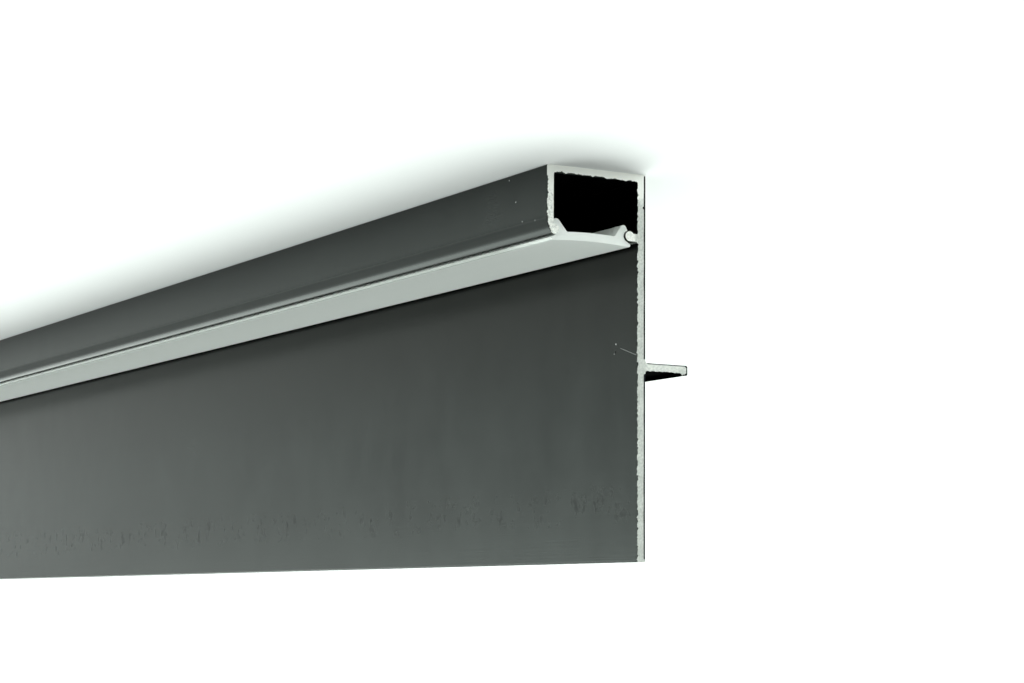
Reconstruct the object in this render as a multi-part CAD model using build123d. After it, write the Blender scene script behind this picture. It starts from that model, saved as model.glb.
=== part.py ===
from build123d import *
import math
import os

# Aluminium trim extrusion for an LED strip, with its snap-in light cover, millimetres.
# The section lies in the XZ plane and the stock runs along Y.
# Origin: middle of the channel's flat back, which the stock stands on. The tall web rises at -X.

# Stock
stock_length = 1000.0

# Web and channel
web_height = 50.0
channel_width = 14.8
web_wall = 1.2
channel_wall = 1.0
catch_height = 8.85
bead_diameter = 1.3
lip_bead_reach = 0.8
lip_round = 3.2
ledge_reach = 1.85
corner_round = 0.2

# Fin on the web's back
fin_centre_height = 25.0
fin_reach = 6.5
fin_wall = 1.0
fin_root_round = 0.3
fin_tip_round = 0.25
barb_height = 0.3
barb_length = 0.8
barb_ramp = 0.4

# Light cover, with its slope in degrees
cover_clearance = 0.08
cover_shift = 0.03
cover_set_back = 0.3
cover_overlap = 0.95
cover_edge_thickness = 0.67
cover_tip_radius = 0.25
cover_tip_slope = 34.0
cover_middle_thickness = 1.1
cover_camber = 0.25
leg_depth = 2.15
leg_root_inset = 1.85
leg_root_round = 0.45
snap_reach = 0.5
snap_nose_inset = 0.6
snap_nose_radius = 0.4
hook_reach = 0.62
hook_nose_inset = 0.4
hook_nose_radius = 0.6

# Places worked out from these sizes, most of them shared by the two pieces
web_back = -channel_width / 2
web_front = web_back + web_wall
lip_outside = channel_width / 2
lip_inside = lip_outside - channel_wall
bead_radius = bead_diameter / 2
bead_centre_height = catch_height - bead_radius
lip_bead_centre = lip_inside - lip_bead_reach + bead_radius
ledge_bead_centre = web_front + ledge_reach - bead_radius
slot_centre = (lip_bead_centre + ledge_bead_centre) / 2
slot_half_width = (lip_bead_centre - ledge_bead_centre) / 2 - bead_radius
cover_bead_centre = slot_half_width + bead_radius
cover_neck = slot_half_width - cover_clearance
cover_seat_height = catch_height + cover_clearance
cover_face = cover_seat_height + cover_edge_thickness
cover_inner_face = cover_face - cover_middle_thickness
leg_root = slot_half_width - leg_root_inset


def bar(left, right, low, high):
    """A rectangle between two widths and two heights of the section."""
    return Pos((left + right) / 2, (low + high) / 2) * Rectangle(right - left, high - low)


def disc(across, height, radius):
    """A full circle of the section."""
    return Pos(across, height) * Circle(radius)


def rounded(section, places, radius):
    """The section with the corners nearest to the given places rounded."""
    corners = [section.vertices().sort_by_distance((x, z, 0))[0] for x, z in places]
    return fillet(corners, radius)


def along_the_stock(section, length):
    """The section drawn upright in XZ and run to half the length each way."""
    return extrude(Plane.XZ * section, amount=length / 2, both=True)


def lip():
    """The channel's free wall: a wide round outside runs smoothly into the half round bead inside."""
    round_centre = lip_outside - lip_round
    reach = lip_bead_centre - round_centre
    drop = math.sqrt((lip_round - bead_radius) ** 2 - reach**2)
    turn = math.degrees(math.atan2(drop, reach))
    round_height = bead_centre_height - drop
    outside_foot = Vector(lip_outside, 0)
    outside_shoulder = Vector(lip_outside, round_height)
    bead_root = Vector(lip_bead_centre, catch_height - bead_diameter)
    inside_shoulder = Vector(lip_inside, catch_height - bead_diameter)
    inside_foot = Vector(lip_inside, 0)
    outline = [
        Line(inside_foot, outside_foot),
        Line(outside_foot, outside_shoulder),
        CenterArc((round_centre, round_height), lip_round, 0, turn),
        CenterArc((lip_bead_centre, bead_centre_height), bead_radius, turn, 270 - turn),
        Line(bead_root, inside_shoulder),
        Line(inside_shoulder, inside_foot),
    ]
    return make_face(outline)


def ledge():
    """The short shelf on the web that carries the second bead."""
    shelf = bar(web_front, ledge_bead_centre, catch_height - channel_wall, catch_height)
    return shelf + disc(ledge_bead_centre, bead_centre_height, bead_radius)


def fin():
    """The flat fin on the web's back, thickened on one side into a barb at its tip."""
    low = fin_centre_height - fin_wall / 2
    high = fin_centre_height + fin_wall / 2
    tip = web_back - fin_reach
    barb_start = tip + barb_length
    outline = Polyline(
        (web_front, low),
        (tip, low),
        (tip, high + barb_height),
        (barb_start, high + barb_height),
        (barb_start + barb_ramp, high),
        (web_front, high),
        close=True,
    )
    blade = make_face(outline)
    return rounded(blade, [(tip, low), (tip, high + barb_height)], fin_tip_round)


def extrusion_section():
    """Web, channel back, lip, ledge and fin as the one section that comes through the die."""
    web = bar(web_back, web_front, 0, web_height)
    channel_back = bar(web_back, lip_outside, 0, channel_wall)
    section = web + channel_back + lip() + ledge() + fin()
    outer_corners = [
        (web_back, 0),
        (lip_outside, 0),
        (web_back, web_height),
        (web_front, web_height),
    ]
    inner_corners = [(web_front, channel_wall), (lip_inside, channel_wall)]
    section = rounded(section, outer_corners + inner_corners, corner_round)
    fin_roots = [
        (web_back, fin_centre_height - fin_wall / 2),
        (web_back, fin_centre_height + fin_wall / 2),
    ]
    return rounded(section, fin_roots, fin_root_round)


def cover_plate():
    """The cover's cambered plate with its two tapered edges that lap over the beads."""
    tip = slot_half_width + cover_overlap - cover_tip_radius
    tip_centre = cover_face - cover_tip_radius
    tip_low = tip_centre - cover_tip_radius
    lap_foot = tip_low - (tip - cover_neck) * math.tan(math.radians(cover_tip_slope))
    middle = cover_face - cover_camber
    inner_middle = cover_inner_face - cover_camber
    outline = [
        ThreePointArc((-tip, cover_face), (0, middle), (tip, cover_face)),
        CenterArc((tip, tip_centre), cover_tip_radius, -90, 180),
        Line((tip, tip_low), (cover_neck, lap_foot)),
        Line((cover_neck, lap_foot), (cover_neck, cover_inner_face)),
        ThreePointArc((cover_neck, cover_inner_face), (0, inner_middle), (-cover_neck, cover_inner_face)),
        Line((-cover_neck, cover_inner_face), (-cover_neck, lap_foot)),
        Line((-cover_neck, lap_foot), (-tip, tip_low)),
        CenterArc((-tip, tip_centre), cover_tip_radius, 90, 180),
    ]
    return make_face(outline)


def leg(reach, nose_inset, nose_radius):
    """One wedge-shaped leg with a round nose, its outer side caught behind the bead."""
    outside = slot_half_width + reach
    catch = catch_height - bead_diameter - cover_clearance
    nose_height = cover_seat_height - leg_depth + nose_radius
    nose = CenterArc((outside - nose_inset, nose_height), nose_radius, 0, 360)
    outer_side = Line((outside, catch), (outside, bead_centre_height))
    root = Line((leg_root, cover_seat_height), (slot_half_width, cover_seat_height))
    return make_hull([nose, outer_side, root]) & bar(leg_root, outside, 0, cover_seat_height)


def cover_section():
    """Plate, stiff hook behind the lip's bead and springy snap behind the ledge's, at rest in the slot."""
    hook = leg(hook_reach, hook_nose_inset, hook_nose_radius)
    snap = mirror(leg(snap_reach, snap_nose_inset, snap_nose_radius), about=Plane.YZ)
    bead_room = disc(cover_bead_centre, bead_centre_height, bead_radius + cover_clearance)
    section = cover_plate() + hook + snap - bead_room - mirror(bead_room, about=Plane.YZ)
    inner_corners = [(leg_root, cover_inner_face), (-leg_root, cover_inner_face)]
    return Pos(slot_centre + cover_shift, 0) * rounded(section, inner_corners, leg_root_round)


os.makedirs("parts", exist_ok=True)
pieces = {
    "extrusion": along_the_stock(extrusion_section(), stock_length),
    "light_cover": along_the_stock(cover_section(), stock_length - 2 * cover_set_back),
}
for name, piece in pieces.items():
    export_step(piece, f"parts/{name}.step")
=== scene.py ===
import cmath
import math

import bmesh
import bpy
from mathutils import Euler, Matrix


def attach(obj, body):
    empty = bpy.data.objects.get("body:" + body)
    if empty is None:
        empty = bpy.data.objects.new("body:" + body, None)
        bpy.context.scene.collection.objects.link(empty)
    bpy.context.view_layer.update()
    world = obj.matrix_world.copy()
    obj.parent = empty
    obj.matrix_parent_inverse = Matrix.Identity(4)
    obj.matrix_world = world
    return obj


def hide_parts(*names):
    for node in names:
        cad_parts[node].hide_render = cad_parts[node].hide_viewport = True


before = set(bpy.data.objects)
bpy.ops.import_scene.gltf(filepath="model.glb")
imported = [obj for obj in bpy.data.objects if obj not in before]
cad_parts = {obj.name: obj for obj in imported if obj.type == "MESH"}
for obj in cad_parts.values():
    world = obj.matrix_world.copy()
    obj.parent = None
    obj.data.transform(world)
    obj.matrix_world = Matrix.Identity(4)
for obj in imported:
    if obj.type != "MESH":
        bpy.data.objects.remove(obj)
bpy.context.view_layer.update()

# Sizes are written in millimetres, and become the frame's metres where they are used
MM = 0.001

# The section as it comes through the die. X runs from web to lip, Z up the web.
WEB_BACK, WEB_FRONT, WEB_TOP = -7.4, -6.2, 50.0
LIP_INSIDE, LIP_OUTSIDE = 6.4, 7.4
CHANNEL_FLOOR = 1.0
CATCH_TOP, CATCH_LOW = 8.85, 7.55
BEAD_MIDDLE, BEAD = 8.2, 0.65
LIP_BEAD, LEDGE_BEAD = 6.25, -5.0
LEDGE_LOW = 7.85
LIP_ROUND = 3.2
CORNER = 0.2
FIN_LOW, FIN_HIGH, FIN_TIP = 24.5, 25.5, -13.9
FIN_ROOT, FIN_END = 0.3, 0.25
BARB_TOP, BARB_START, BARB_FOOT = 25.8, -13.1, -12.7

# The light cover, which seats on the two beads. A reach is measured across from the cover's middle.
CLEARANCE = 0.08
SEAT = BEAD + CLEARANCE
SEAT_REACH = (LIP_BEAD - LEDGE_BEAD) / 2
NECK_REACH = SEAT_REACH - SEAT
COVER_MIDDLE = 0.655
COVER_TOP, COVER_INSIDE, COVER_SAG = 9.6, 8.5, 0.25
TIP_REACH, TIP_ROUND, TIP_SLOPE = 5.675, 0.25, 34.0
LEG_REACH, LEG_TOP, LEG_FOOT, LEG_ROUND = 3.125, 8.93, 6.78, 0.45
SNAP_REACH, SNAP_NOSE_REACH, SNAP_NOSE = 5.475, 4.875, 0.4
HOOK_REACH, HOOK_NOSE_REACH, HOOK_NOSE = 5.595, 5.195, 0.6

# Half the length of each piece
HALF_STOCK = 500.0
COVER_HALF = 499.7

# How far a rolled edge reaches along the stock, and how far in from each cut the next points lie
BURR_DEPTH = 0.06
STOCK_RING, COVER_RING = 0.5, 1.0

# The longest step between the points of each section, and how near points are welded
STOCK_STEP, COVER_STEP = 0.15, 0.8
WELD = 0.002

# Edges of fewer degrees than this are shaded smooth
SMOOTH_ANGLE = 28.0


# Work in edit mode

def edit(obj, select="VERT"):
    """Opens one object alone for editing, with nothing on it selected."""
    bpy.ops.object.select_all(action="DESELECT")
    obj.select_set(True)
    bpy.context.view_layer.objects.active = obj
    bpy.ops.object.mode_set(mode="EDIT")
    bpy.ops.mesh.select_mode(type=select)
    bpy.ops.mesh.select_all(action="DESELECT")


def pick(obj, wanted, kind="verts"):
    """Selects the points, edges or faces that the test takes, and returns how many they are."""
    mesh = bmesh.from_edit_mesh(obj.data)
    for part in (mesh.verts, mesh.edges, mesh.faces):
        for item in part:
            item.select_set(False)
    found = [item for item in getattr(mesh, kind) if wanted(item)]
    for item in found:
        item.select_set(True)
    mesh.select_flush_mode()
    bmesh.update_edit_mesh(obj.data)
    return len(found)


def leave_edit():
    """Back to object mode."""
    bpy.ops.object.mode_set(mode="OBJECT")


class Pen:
    """Draws a section at the near end: its last point is extruded along lines and spun round centres."""

    def __init__(self, name, x, z, y):
        """Starts a piece as one point, got by merging a small plane."""
        bpy.ops.object.select_all(action="DESELECT")
        bpy.ops.mesh.primitive_plane_add(size=MM, location=(x * MM, y * MM, z * MM))
        self.piece = bpy.context.object
        self.piece.name = self.piece.data.name = name
        bpy.ops.object.transform_apply(location=True, rotation=True, scale=True)
        bpy.ops.object.mode_set(mode="EDIT")
        bpy.ops.mesh.select_mode(type="VERT")
        bpy.ops.mesh.select_all(action="SELECT")
        bpy.ops.mesh.merge(type="CENTER")
        self.x, self.z, self.y = x, z, y

    def line(self, x, z):
        """A straight run to a place on the section."""
        move = ((x - self.x) * MM, 0, (z - self.z) * MM)
        bpy.ops.mesh.extrude_region_move(TRANSFORM_OT_translate={"value": move})
        self.x, self.z = x, z

    def arc(self, x, z, degrees, steps=10):
        """An arc about a centre, anticlockwise as the near end is looked at."""
        turn = math.radians(degrees)
        centre = (x * MM, self.y * MM, z * MM)
        bpy.ops.mesh.spin(steps=steps, angle=turn, center=centre, axis=(0, 1, 0))
        across, up = self.x - x, self.z - z
        self.x = x + across * math.cos(turn) - up * math.sin(turn)
        self.z = z + across * math.sin(turn) + up * math.cos(turn)

    def line_to(self, place):
        """A straight run to a place that is written as a complex number, x + z i."""
        self.line(place.real, place.imag)

    def arc_to(self, centre, end, steps):
        """An arc to an end, the shorter way round a centre, with both written as complex numbers."""
        turn = cmath.phase((end - centre) / (complex(self.x, self.z) - centre))
        self.arc(centre.real, centre.imag, math.degrees(turn), steps)

    def close(self, longest):
        """Joins the last point to the first, divides runs over the longest step and fills the section."""
        bpy.ops.mesh.select_all(action="SELECT")
        bpy.ops.mesh.remove_doubles(threshold=WELD * MM)
        bpy.ops.mesh.select_mode(type="EDGE")
        while pick(self.piece, lambda e: e.calc_length() > longest * MM, "edges"):
            bpy.ops.mesh.subdivide(number_cuts=1)
        bpy.ops.mesh.select_mode(type="VERT")
        bpy.ops.mesh.select_all(action="SELECT")
        bpy.ops.mesh.edge_face_add()
        bpy.ops.mesh.select_mode(type="FACE")

    def run(self, *places):
        """Runs the filled section along the stock, with a ring of points at each place."""
        bpy.ops.mesh.select_all(action="SELECT")
        at = self.y
        for y in places:
            bpy.ops.mesh.extrude_region_move(TRANSFORM_OT_translate={"value": (0, (y - at) * MM, 0)})
            at = y
        bpy.ops.mesh.select_all(action="SELECT")
        bpy.ops.mesh.remove_doubles(threshold=WELD * MM)
        bpy.ops.mesh.normals_make_consistent(inside=False)
        leave_edit()
        return self.piece


# The two sections

def draw_extrusion():
    """The aluminium section, drawn round once from the foot of the web."""
    pen = Pen("extruded_stock", WEB_BACK + CORNER, 0, -HALF_STOCK)
    pen.line(LIP_OUTSIDE - CORNER, 0)
    pen.arc(LIP_OUTSIDE - CORNER, CORNER, 90)
    reach = LIP_BEAD - LIP_OUTSIDE + LIP_ROUND
    drop = math.sqrt((LIP_ROUND - BEAD) ** 2 - reach**2)
    turn = math.degrees(math.atan2(drop, reach))
    pen.line(LIP_OUTSIDE, BEAD_MIDDLE - drop)
    pen.arc(LIP_OUTSIDE - LIP_ROUND, BEAD_MIDDLE - drop, turn, 20)
    pen.arc(LIP_BEAD, BEAD_MIDDLE, 270 - turn, 30)
    pen.line(LIP_INSIDE, CATCH_LOW)
    pen.line(LIP_INSIDE, CHANNEL_FLOOR + CORNER)
    pen.arc(LIP_INSIDE - CORNER, CHANNEL_FLOOR + CORNER, -90)
    pen.line(WEB_FRONT + CORNER, CHANNEL_FLOOR)
    pen.arc(WEB_FRONT + CORNER, CHANNEL_FLOOR + CORNER, -90)
    pen.line(WEB_FRONT, LEDGE_LOW)
    below = math.asin((BEAD_MIDDLE - LEDGE_LOW) / BEAD)
    pen.line(LEDGE_BEAD - BEAD * math.cos(below), LEDGE_LOW)
    pen.arc(LEDGE_BEAD, BEAD_MIDDLE, 270 - math.degrees(below), 32)
    pen.line(WEB_FRONT, CATCH_TOP)
    pen.line(WEB_FRONT, WEB_TOP - CORNER)
    pen.arc(WEB_FRONT - CORNER, WEB_TOP - CORNER, 90)
    pen.line(WEB_BACK + CORNER, WEB_TOP)
    pen.arc(WEB_BACK + CORNER, WEB_TOP - CORNER, 90)
    pen.line(WEB_BACK, FIN_HIGH + FIN_ROOT)
    pen.arc(WEB_BACK - FIN_ROOT, FIN_HIGH + FIN_ROOT, -90)
    pen.line(BARB_FOOT, FIN_HIGH)
    pen.line(BARB_START, BARB_TOP)
    pen.line(FIN_TIP + FIN_END, BARB_TOP)
    pen.arc(FIN_TIP + FIN_END, BARB_TOP - FIN_END, 90)
    pen.line(FIN_TIP, FIN_LOW + FIN_END)
    pen.arc(FIN_TIP + FIN_END, FIN_LOW + FIN_END, 90)
    pen.line(WEB_BACK - FIN_ROOT, FIN_LOW)
    pen.arc(WEB_BACK - FIN_ROOT, FIN_LOW - FIN_ROOT, -90)
    pen.line(WEB_BACK, CORNER)
    pen.arc(WEB_BACK + CORNER, CORNER, 90)
    pen.close(STOCK_STEP)
    rolled, inner = HALF_STOCK - BURR_DEPTH, HALF_STOCK - STOCK_RING
    return pen.run(-rolled, -inner, inner, rolled, HALF_STOCK)


def first_meeting(start, direction, centre, radius):
    """Where a line first meets a circle."""
    direction = direction / abs(direction)
    toward = (centre - start) * direction.conjugate()
    return start + direction * (toward.real - math.sqrt(radius**2 - toward.imag**2))


def touching(point, centre, radius):
    """Where a line from a point touches a circle, anticlockwise from the point as the centre sees it."""
    away = point - centre
    return centre + cmath.rect(radius, cmath.phase(away) + math.acos(radius / abs(away)))


def lowest(centre, radius, x):
    """The lower of the two places of a circle at one distance across."""
    return complex(x, centre.imag - math.sqrt(radius**2 - (x - centre.real) ** 2))


def sag_radius(reach):
    """The radius of a face of the cover, whose middle lies lower than its two edges."""
    return (reach**2 + COVER_SAG**2) / (2 * COVER_SAG)


def cover_end(side, nose_reach, nose_radius):
    """The centres and joins of one end of the cover: side is -1 at the ledge and 1 at the lip."""
    seat = complex(SEAT_REACH, BEAD_MIDDLE)
    tip = complex(TIP_REACH, COVER_TOP - 2 * TIP_ROUND)
    lap = first_meeting(tip, complex(-1, -math.tan(math.radians(TIP_SLOPE))), seat, SEAT)
    nose = complex(nose_reach, LEG_FOOT + nose_radius)
    leg_top = complex(LEG_REACH, LEG_TOP)
    toe = touching(leg_top, nose, nose_radius)
    upward = (leg_top - toe) / abs(leg_top - toe)
    inward = upward * 1j * LEG_ROUND
    face_radius = sag_radius(NECK_REACH)
    face = complex(0, COVER_INSIDE - COVER_SAG + face_radius)
    hollow = first_meeting(toe + inward, upward, face, face_radius + LEG_ROUND)
    hollow_top = face + cmath.rect(face_radius, cmath.phase(hollow - face))
    places = seat, lap, nose, toe, hollow, hollow - inward, hollow_top
    return [complex(COVER_MIDDLE + side * place.real, place.imag) for place in places]


def draw_cover():
    """The cover: a sagging plate with tapered edges, a springy snap at the ledge and a hook at the lip."""
    left, right = COVER_MIDDLE - TIP_REACH, COVER_MIDDLE + TIP_REACH
    snap_side, hook_side = COVER_MIDDLE - SNAP_REACH, COVER_MIDDLE + HOOK_REACH
    outer_face = complex(COVER_MIDDLE, COVER_TOP - COVER_SAG + sag_radius(TIP_REACH))
    inner_face = complex(COVER_MIDDLE, COVER_INSIDE - COVER_SAG + sag_radius(NECK_REACH))
    catch = complex(snap_side, CATCH_LOW - CLEARANCE)

    pen = Pen("snap_in_cover", left, COVER_TOP, -COVER_HALF)
    pen.arc(left, COVER_TOP - TIP_ROUND, 180)
    seat, lap, nose, toe, hollow, hollow_low, hollow_top = cover_end(-1, SNAP_NOSE_REACH, SNAP_NOSE)
    pen.line_to(lap)
    pen.arc_to(seat, lowest(seat, SEAT, snap_side), 18)
    pen.line_to(catch)
    pen.line_to(touching(catch, nose, SNAP_NOSE))
    pen.arc_to(nose, toe, 12)
    pen.line_to(hollow_low)
    pen.arc_to(hollow, hollow_top, 8)

    seat, lap, nose, toe, hollow, hollow_low, hollow_top = cover_end(1, HOOK_NOSE_REACH, HOOK_NOSE)
    pen.arc_to(inner_face, hollow_top, 14)
    pen.arc_to(hollow, hollow_low, 8)
    pen.line_to(toe)
    pen.arc_to(nose, lowest(nose, HOOK_NOSE, hook_side), 12)
    pen.line_to(lowest(seat, SEAT, hook_side))
    pen.arc_to(seat, lap, 18)
    pen.line(right, COVER_TOP - 2 * TIP_ROUND)
    pen.arc(right, COVER_TOP - TIP_ROUND, 180)
    pen.arc_to(outer_face, complex(left, COVER_TOP), 20)
    pen.close(COVER_STEP)
    inner = COVER_HALF - COVER_RING
    return pen.run(-inner, inner, COVER_HALF)


# Sawn ends

def on_a_sawn_end(point):
    """Whether a point lies in one of the two cuts."""
    return abs(point.y) > (HALF_STOCK - WELD) * MM


def group(obj, name, wanted):
    """Puts the points that the test takes into a named group."""
    edit(obj)
    pick(obj, wanted)
    bpy.ops.object.vertex_group_assign_new()
    leave_edit()
    obj.vertex_groups[-1].name = name


def roughen(obj, name, wanted, size, grain, centre=0.5, directions="XZ"):
    """Pushes the points of a sawn edge about in the plane of the cut, as the saw tears them."""
    group(obj, name, wanted)
    for direction in directions:
        texture = bpy.data.textures.new(name + direction, "CLOUDS")
        texture.noise_scale, texture.noise_depth = grain * MM, 1
        torn = obj.modifiers.new(name + direction, "DISPLACE")
        torn.texture, torn.texture_coords = texture, "LOCAL"
        torn.direction, torn.mid_level, torn.strength = direction, centre, size * MM
        torn.vertex_group = name
        bpy.ops.object.modifier_apply(modifier=torn.name)


def roll_edge(obj, wanted, across=0, up=0):
    """Moves points of both ends sideways. Inwards, that leaves a dark rolled edge behind the bare face."""
    edit(obj)
    pick(obj, wanted)
    bpy.ops.transform.translate(value=(across * MM, 0, up * MM))
    leave_edit()


def round_off(obj, wanted, x, z, across, up):
    """Draws the points of an end in towards one place, which keeps their corners round."""
    edit(obj)
    for y in (-HALF_STOCK, HALF_STOCK):
        pick(obj, lambda v: wanted(v) and v.co.y * y > 0)
        centre = (x * MM, y * MM, z * MM)
        bpy.ops.transform.resize(value=(across, 1, up), center_override=centre)
    leave_edit()


def trim(obj, limit):
    """Presses the points of an end that stand out past a limit on the lip's side back to it."""
    edit(obj)
    pick(obj, lambda v: on_a_sawn_end(v.co) and v.co.x > limit * MM)
    bpy.ops.transform.resize(value=(0, 1, 1), center_override=(limit * MM, 0, 0))
    leave_edit()


def finish_sawn_ends(obj):
    """Rolled edges at the back, torn burrs at the front and inside, as one pass of the saw leaves them."""

    def sawn(*windows):
        """The test for points of a sawn end inside windows of the section: left, right, low and high."""

        def inside(v):
            x, z = v.co.x / MM, v.co.z / MM
            return on_a_sawn_end(v.co) and any(
                left < x < right and low < z < high for left, right, low, high in windows
            )

        return inside

    back = sawn((-7.6, -7.39, 0.1, 24.1), (-7.6, -7.39, 25.9, 49.7))
    nick = sawn((-7.6, -6.9, 4.15, 4.5))
    rolled_back = sawn((-7.2, -7.0, 0.1, 49.7))
    fin_low = sawn((-13.2, -7.7, 24.4, 24.6))
    fin_high = sawn((-13.2, -7.8, 25.4, 25.9))
    fin_tip = sawn((-14, -13.2, 24, 26))
    fin_end = sawn((-14, -13.5, 24, 26))
    lip_outside = sawn((6.8, 7.6, 1.5, 8.6))
    burrs = sawn((7.0, 7.6, 4.35, 5.25), (7.0, 7.6, 5.95, 6.3))
    web_front = sawn((-6.21, -6.19, 1.3, 49.7))
    floor_by_lip = sawn((-1, 6.3, 0.95, 1.05))
    floor_corner = sawn((3, 6.3, 0.9, 1.05))
    channel_floor = sawn((-6.1, 6.3, 0.85, 1.05))

    roll_edge(obj, back, across=0.27)
    roll_edge(obj, nick, across=0.17)
    roll_edge(obj, fin_low, up=0.13)
    round_off(obj, fin_tip, -13.2, 25.15, across=0.74, up=0.8)
    round_off(obj, fin_end, -13.4, 25.15, across=0.9, up=0.82)
    roll_edge(obj, lip_outside, across=-0.11)
    roll_edge(obj, burrs, across=0.09)
    roughen(obj, "rolled_back", rolled_back, size=0.1, grain=2.5, directions="X")
    roughen(obj, "torn_lip", lip_outside, size=0.34, grain=0.22, centre=0.6, directions="X")
    trim(obj, LIP_OUTSIDE - 0.005)
    roughen(obj, "torn_web", web_front, size=0.42, grain=0.3)
    roll_edge(obj, floor_by_lip, up=-0.07)
    roll_edge(obj, floor_corner, up=-0.07)
    roughen(obj, "torn_floor", channel_floor, size=0.38, grain=0.32, centre=0.6, directions="Z")
    roughen(obj, "torn_fin", fin_high, size=0.24, grain=0.3, directions="Z")


# Finishes

class Value:
    """One output of a shader node, which takes part in ordinary sums."""

    def __init__(self, shader, socket):
        self.shader, self.socket = shader, socket

    def sum(self, operation, first, second):
        return self.shader.node("ShaderNodeMath", {"operation": operation}, {0: first, 1: second})

    def __add__(self, other):
        return self.sum("ADD", self, other)

    def __sub__(self, other):
        return self.sum("SUBTRACT", self, other)

    def __mul__(self, other):
        return self.sum("MULTIPLY", self, other)

    def __truediv__(self, other):
        return self.sum("DIVIDE", self, other)

    def __pow__(self, other):
        return self.sum("POWER", self, other)

    def __rsub__(self, other):
        return self.sum("SUBTRACT", other, self)

    def __rtruediv__(self, other):
        return self.sum("DIVIDE", other, self)

    __radd__, __rmul__ = __add__, __mul__

    def larger(self, other):
        """The larger of two values, place by place."""
        return self.sum("MAXIMUM", self, other)

    def smaller(self, other):
        """The smaller of two values, place by place."""
        return self.sum("MINIMUM", self, other)

    def wave(self):
        """The value's sine."""
        return self.shader.node("ShaderNodeMath", {"operation": "SINE"}, {0: self})

    def between(self, low, high):
        """0 at low and 1 at high, with a soft step between them."""
        inputs = {"Value": self, "From Min": low, "From Max": high}
        return self.shader.node("ShaderNodeMapRange", {"interpolation_type": "SMOOTHSTEP"}, inputs)

    def also(self, output):
        """Another output of the same node."""
        return Value(self.shader, self.socket.node.outputs[output])


class Shader:
    """A node tree, of a material or of the world, whose nodes are added one call at a time."""

    def __init__(self, owner, coordinates="Object"):
        self.owner = owner
        owner.use_nodes = True
        self.tree = owner.node_tree
        self.tree.nodes.clear()
        self.place = self.node("ShaderNodeTexCoord").also(coordinates)
        self.x = self.node("ShaderNodeSeparateXYZ", {}, {"Vector": self.place})
        self.y, self.z = self.x.also("Y"), self.x.also("Z")

    def node(self, kind, settings=None, inputs=None, output=0):
        """A node with its settings made first, then the numbers or links of its sockets."""
        node = self.tree.nodes.new(kind)
        for name, value in (settings or {}).items():
            setattr(node, name, value)
        for name, value in (inputs or {}).items():
            if isinstance(value, Value):
                self.tree.links.new(value.socket, node.inputs[name])
            else:
                node.inputs[name].default_value = value
        return Value(self, node.outputs[output]) if node.outputs else None

    def grain(self, scale, detail, rough):
        """Noise in the piece's own coordinates, with its own number of grains to the metre each way."""
        where = self.node("ShaderNodeMapping", {}, {"Vector": self.place, "Scale": scale})
        inputs = {"Vector": where, "Scale": 1.0, "Detail": detail, "Roughness": rough}
        return self.node("ShaderNodeTexNoise", {}, inputs)

    def blend(self, share, first, second):
        """A colour between two others."""
        inputs = {0: share, 6: first, 7: second}
        return self.node("ShaderNodeMix", {"data_type": "RGBA", "clamp_factor": True}, inputs, 2)

    def bump(self, height, strength, depth):
        """Fine relief for a surface's normal."""
        inputs = {"Height": height, "Strength": strength, "Distance": depth}
        return self.node("ShaderNodeBump", {}, inputs)

    def surface(self, **sockets):
        """The finished surface. Names are the sockets' names with _ for a space."""
        inputs = {name.replace("_", " "): value for name, value in sockets.items()}
        shaded = self.node("ShaderNodeBsdfPrincipled", {}, inputs)
        self.node("ShaderNodeOutputMaterial", {}, {"Surface": shaded})
        return self.owner

    def band(self, low, high, foot, top):
        """A band of heights in millimetres, with a soft step up at its foot and down at its top."""
        rise = self.z.between(low * MM, high * MM)
        return rise * (1 - self.z.between(foot * MM, top * MM))

    def spots(self, radius, *places):
        """Small round marks at places on an upright face, 1 inside and 0 outside."""
        marks = 0
        for y, z in places:
            away = ((self.y - y * MM) ** 2 + (self.z - z * MM) ** 2) ** 0.5
            marks = (1 - away.between(radius * 0.6 * MM, radius * MM)).larger(marks)
        return marks

    def scratch(self, start, end, width):
        """A fine straight mark between two places on an upright face."""
        (y0, z0), (y1, z1) = start, end
        run, rise = (y1 - y0) * MM, (z1 - z0) * MM
        along = ((self.y - y0 * MM) * run + (self.z - z0 * MM) * rise) / (run * run + rise * rise)
        along = along.larger(0).smaller(1)
        away = ((self.y - along * run - y0 * MM) ** 2 + (self.z - along * rise - z0 * MM) ** 2) ** 0.5
        return 1 - away.between(width * 0.3 * MM, width * 0.5 * MM)


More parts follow.
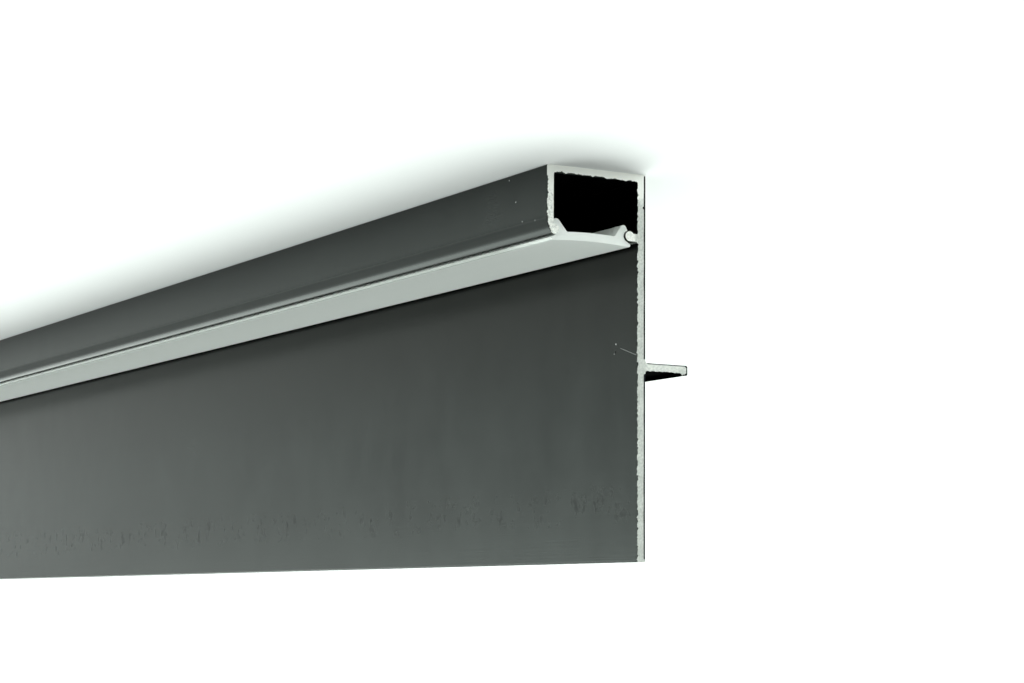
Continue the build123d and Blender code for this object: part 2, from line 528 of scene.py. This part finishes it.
def anodised_finish(name, deep, light, tint):
    """Satin anodising: clouded, drawn lines along the stock, the marks of handling near the seen end,
    painted shade on the web by the cover and on the lip's round, and painted light on the lip's flat wall.
    """
    s = Shader(bpy.data.materials.new(name))
    lines = s.grain((2600, 3, 2600), 3, 0.6)
    fine = s.grain((9000, 45, 9000), 2, 0.6)
    clouds = s.grain((55, 40, 55), 4, 0.55)
    smears = s.grain((110, 190, 110), 4, 0.6)
    on_web = 1 - s.x.between(-6 * MM, -5 * MM)
    on_lip = s.x.between(7.2 * MM, 7.3 * MM)
    on_fin = 1 - s.x.between(-7.7 * MM, -7.5 * MM)
    scratch = s.scratch((-495.9, 22.3), (-499.7, 23.5), 0.1) * 0.3
    web_specks = s.spots(0.14, (-494.75, 21.65)).larger(s.spots(0.1, (-494.3, 22.9)))
    lip_specks = s.spots(0.12, (-490.2, 0.6), (-492, 3.7), (-493.7, 6.5), (-497, 6.8))
    pale = (web_specks.larger(scratch) * on_web).larger(lip_specks * on_lip * 0.8)
    ticks = s.grain((420, 620, 420), 3, 0.6).between(0.54, 0.68)
    smudge = ticks * s.band(39, 42, 43, 46) * on_web
    dark = s.spots(0.16, (-494.7, 22.7)).larger(smudge * 0.35)
    tone = 0.5 + (lines - 0.5) * 0.3 + (clouds - 0.5) * 0.8 + (smears - 0.5) * 0.8
    colour = s.blend(tone, deep, light)
    # Painted shade: the web darkens towards the cover, where the channel shades it.
    painted_shade_by_cover = on_web * (1 - s.z.between(11 * MM, 34 * MM))
    colour = s.blend(painted_shade_by_cover * 0.6, colour, (0.014, 0.0135, 0.012, 1))
    on_ledge = s.x.between(-6.25 * MM, -6.2 * MM) * (1 - s.x.between(-5.2 * MM, -4.9 * MM))
    near_cut = 1 - s.y.between(-498.5 * MM, -494 * MM)
    rubbed = on_ledge * s.band(8.7, 8.8, 8.95, 9.05) * near_cut
    colour = s.blend(rubbed * 0.9, colour, (0.5, 0.51, 0.49, 1))
    # Painted light: the lip's flat outer wall is lighter below its round.
    painted_light_on_lip_wall = on_lip * (1 - s.z.between(6.2 * MM, 6.8 * MM))
    colour = s.blend(painted_light_on_lip_wall * 0.5, colour, (0.046, 0.05, 0.048, 1))
    # Painted shade: a darker, rougher band on the lower part of the lip's round dims the reflection there.
    painted_shade_on_lip_round = s.x.between(6.8 * MM, 6.9 * MM) * s.band(6.6, 7.1, 7.8, 8.3)
    colour = s.blend(painted_shade_on_lip_round * 0.5, colour, (0.01, 0.011, 0.0105, 1))
    colour = s.blend(dark, colour, (0.012, 0.012, 0.012, 1))
    colour = s.blend(pale, colour, (0.4, 0.41, 0.4, 1))
    roughness = 0.24 + (clouds - 0.5) * 0.08 + (smears - 0.5) * 0.09 + (fine - 0.5) * 0.05
    roughness = roughness - on_fin * 0.1 + pale * 0.3 + dark * 0.5 + painted_shade_on_lip_round * 0.25
    shape = s.bump(lines * 0.3 + fine * 0.7, 0.22, 0.02 * MM)
    return s.surface(
        Base_Color=colour,
        Metallic=1.0,
        Roughness=roughness,
        Normal=shape,
        Specular_Tint=tint,
    )


def sawn_finish():
    """Bare sawn aluminium: torn pits, patches, the faint arcs of the saw's teeth, and painted light low down
    by the channel's floor.
    """
    s = Shader(bpy.data.materials.new("sawn_bare_aluminium"))
    pits = s.grain((3200, 3200, 3200), 5, 0.7)
    patches = s.grain((500, 500, 500), 2, 0.5)
    blade_radius = ((s.x - 90 * MM) ** 2 + (s.z + 140 * MM) ** 2) ** 0.5
    teeth = (blade_radius * (2 * math.pi / (0.42 * MM)) + patches * 5).wave() * 0.5 + 0.5
    painted_light_near_floor = 1 - s.z.between(0.9 * MM, 4 * MM)
    off_fin = s.x.between(-7.8 * MM, -7.3 * MM)
    on_fin = 1 - off_fin
    on_web = (1 - s.x.between(-6 * MM, -5.6 * MM)) * off_fin * s.z.between(2 * MM, 5 * MM)
    calm = 1 - s.x.between(-4.2 * MM, -3.8 * MM)
    tone = 0.8 + (pits - 0.5) * (3.6 - calm * 2) + (patches - 0.5) * 0.6 + (teeth - 0.5) * 0.06
    # Painted light: the cut is lighter low down by the channel's floor, where the floor in front shades it.
    # It is darker on the web and the fin.
    tone = tone + painted_light_near_floor * 1.2 - on_web * 0.48 - on_fin * 0.36
    colour = s.blend(tone, (0.52, 0.535, 0.51, 1), (1.0, 1.0, 0.965, 1))
    shape = s.bump(pits * 0.85 + teeth * 0.15, 0.4, 0.03 * MM)
    roughness = 0.65 + (pits - 0.5) * 0.25
    return s.surface(Base_Color=colour, Metallic=1.0, Roughness=roughness, Normal=shape)


def milky_finish():
    """Matt milky plastic, whiter where it is cut, with painted shade at the thin edge and in the legs."""
    s = Shader(bpy.data.materials.new("milky_cover_plastic"))
    lines = s.grain((1500, 3, 1500), 2, 0.5)
    haze = s.grain((90, 25, 90), 3, 0.5)
    tone = 0.5 + (lines - 0.5) * 0.3 + (haze - 0.5) * 0.5
    colour = s.blend(tone, (0.87, 0.905, 0.87, 1), (0.93, 0.96, 0.93, 1))
    # Painted shade: the thin edge on the lip's side darkens most near the seen end, and the legs darken too.
    painted_shade_edge = s.x.between(6.1 * MM, 6.4 * MM) * (s.y.between(-498 * MM, -485 * MM) * 0.8 + 0.2)
    painted_shade_legs = 1 - s.z.between(7.0 * MM, 8.7 * MM)
    colour = s.blend(painted_shade_edge * 0.9 + painted_shade_legs * 0.35, colour, (0.46, 0.48, 0.46, 1))
    cut = s.y.between(499.55 * MM, 499.65 * MM) + 1 - s.y.between(-499.65 * MM, -499.55 * MM)
    colour = s.blend(cut * (1 - painted_shade_legs) * 0.6, colour, (0.96, 0.98, 0.96, 1))
    roughness = 0.65 + (haze - 0.5) * 0.15
    shape = s.bump(lines, 0.08, 0.02 * MM)
    return s.surface(
        Base_Color=colour,
        Roughness=roughness,
        Normal=shape,
        Specular_IOR_Level=0.05,
        Subsurface_Weight=0.3,
        Subsurface_Radius=(1.0, 1.0, 1.0),
        Subsurface_Scale=0.6 * MM,
    )


def dress(obj, slot, *materials):
    """Gives a piece its finishes and hangs it on the body. Its slot is not used."""
    for material in materials:
        obj.data.materials.append(material)
    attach(obj, "root")


def smooth(obj):
    """Shades a piece smooth but for its sharp edges."""
    bpy.ops.object.select_all(action="DESELECT")
    obj.select_set(True)
    bpy.context.view_layer.objects.active = obj
    bpy.ops.object.shade_smooth_by_angle(angle=math.radians(SMOOTH_ANGLE))


def on_the_cut(face):
    """The bare faces of the two cuts."""
    return on_a_sawn_end(face.calc_center_median())


def on_the_fin_or_rim(face):
    """The fin in the groove and the rolled rims of the web's back, which take a darker copy of the
    anodising: painted shade on the fin, and on the rims partly their rolled edges and partly painted shade.
    """
    place = face.calc_center_median()
    rim = abs(place.y) > (HALF_STOCK - BURR_DEPTH) * MM and place.x < -6.95 * MM
    return (rim or place.x < -7.45 * MM) and not on_a_sawn_end(place)


# The two pieces

stock = draw_extrusion()
finish_sawn_ends(stock)
satin = anodised_finish(
    "satin_anodised_grey",
    deep=(0.025, 0.0275, 0.0265, 1),
    light=(0.035, 0.0385, 0.037, 1),
    tint=(0.75, 0.75, 0.75, 1),
)
# A darker copy of the anodising with little sheen at grazing angles: painted shade on the fin, and the dark
# rolled rims.
painted_shade_and_rim_satin = anodised_finish(
    "painted_shade_and_dark_rim_anodised",
    deep=(0.013, 0.014, 0.018, 1),
    light=(0.019, 0.02, 0.025, 1),
    tint=(0.25, 0.25, 0.25, 1),
)
dress(stock, "anodised_aluminium", satin, sawn_finish(), painted_shade_and_rim_satin)
for index, faces in ((1, on_the_cut), (2, on_the_fin_or_rim)):
    edit(stock, "FACE")
    pick(stock, faces, "faces")
    stock.active_material_index = index
    bpy.ops.object.material_slot_assign()
    leave_edit()
smooth(stock)
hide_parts("extrusion")

cover = draw_cover()
dress(cover, "milky_plastic", milky_finish())
smooth(cover)
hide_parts("light_cover")

# Studio floor

bpy.ops.object.select_all(action="DESELECT")
bpy.ops.mesh.primitive_plane_add(size=24)
floor = bpy.context.object
floor.name = "studio_floor"
paint = Shader(bpy.data.materials.new("pale_floor"))
white = (0.93, 0.93, 0.93, 1)
floor.data.materials.append(paint.surface(Base_Color=white, Roughness=0.9, Specular_IOR_Level=0.1))

# Light: a ring round the horizon with one gap, a low window and a high crown ahead, a strip overhead

studio = bpy.data.worlds.new("studio")
bpy.context.scene.world = studio
w = Shader(studio, "Generated")
lean = w.x / w.z.larger(0.05)
low = w.z.between(-0.02, 0.02) * (1 - w.z.between(0.45, 0.7))
gap = (w.y * 0.82 - w.x * 0.57).between(0.7, 0.88)
ring = (w.x.between(-0.7, 0.1) * 0.2 + 0.65) * low * (1 - gap)
ahead = w.y.between(0.2, 0.6)
window = ahead * w.x.between(0.22, 0.6) * (1 - w.z.between(0.0, 0.25)) * 8.1
crown = lean.between(-0.3, -0.05) * (1 - lean.between(0.8, 2.0)) * w.z.between(0.1, 0.28)
crown = crown * (1 - w.z.between(0.75, 0.95)) * ahead * (5.8 - w.z.between(0.33, 0.5) * 3.3)
strip = lean.between(-0.95, -0.7) * (1 - lean.between(-0.4, -0.25))
strip = strip * w.y.between(-0.1, 0.4) * w.z.between(0.5, 0.7) * 16.5
ceiling = w.z.between(0.4, 0.7) * 0.25
light = ring.larger(window).larger(crown).larger(strip).larger(ceiling) + 0.02
seen = w.node("ShaderNodeLightPath").also("Is Camera Ray")
strength = light + (1.2 - light) * seen
surroundings = w.node("ShaderNodeBackground", {}, {"Color": (0.92, 1, 0.955, 1), "Strength": strength})
w.node("ShaderNodeOutputWorld", {}, {"Surface": surroundings})
bpy.context.scene.view_settings.view_transform = "Standard"

# Camera, turned half round about its own axis: the photograph shows the channel on top

shot = bpy.data.cameras.new("shot")
shot.sensor_width = 36.0
shot.lens = 82.13
shot.clip_start, shot.clip_end = 0.01, 60.0
camera = bpy.data.objects.new("shot", shot)
camera.location = (0.153914, -0.752106, 0.056277)
camera.rotation_euler = Euler([math.radians(a) for a in (-83.42635, 0.41616, -150.62986)])
bpy.context.scene.collection.objects.link(camera)
bpy.context.scene.camera = camera
